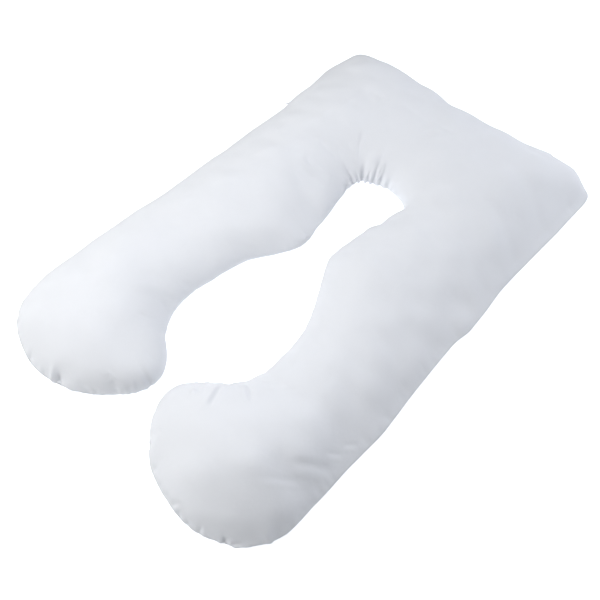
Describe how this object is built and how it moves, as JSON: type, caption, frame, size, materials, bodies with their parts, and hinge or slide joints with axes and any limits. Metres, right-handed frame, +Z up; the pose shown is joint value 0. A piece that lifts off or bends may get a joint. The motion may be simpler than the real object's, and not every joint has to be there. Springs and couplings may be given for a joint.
{
  "type": "body pillow",
  "caption": "U-shaped full-length body pillow: a padded head joins two long legs, with a bay for the neck and a wider bay for the belly between them.",
  "frame": {"origin": "under the middle of the pillow's box, on the surface that it lies on", "axes": "+Y along the legs towards the head, +X across the legs, +Z up out of the upper panel"},
  "size_m": [0.8144, 1.3086, 0.1296],
  "materials": {
    "cloth": "plain woven white cotton, matt, bluish white"
  },
  "bodies": {
    "root": {"pillow": "cloth"}
  },
  "joints": []
}
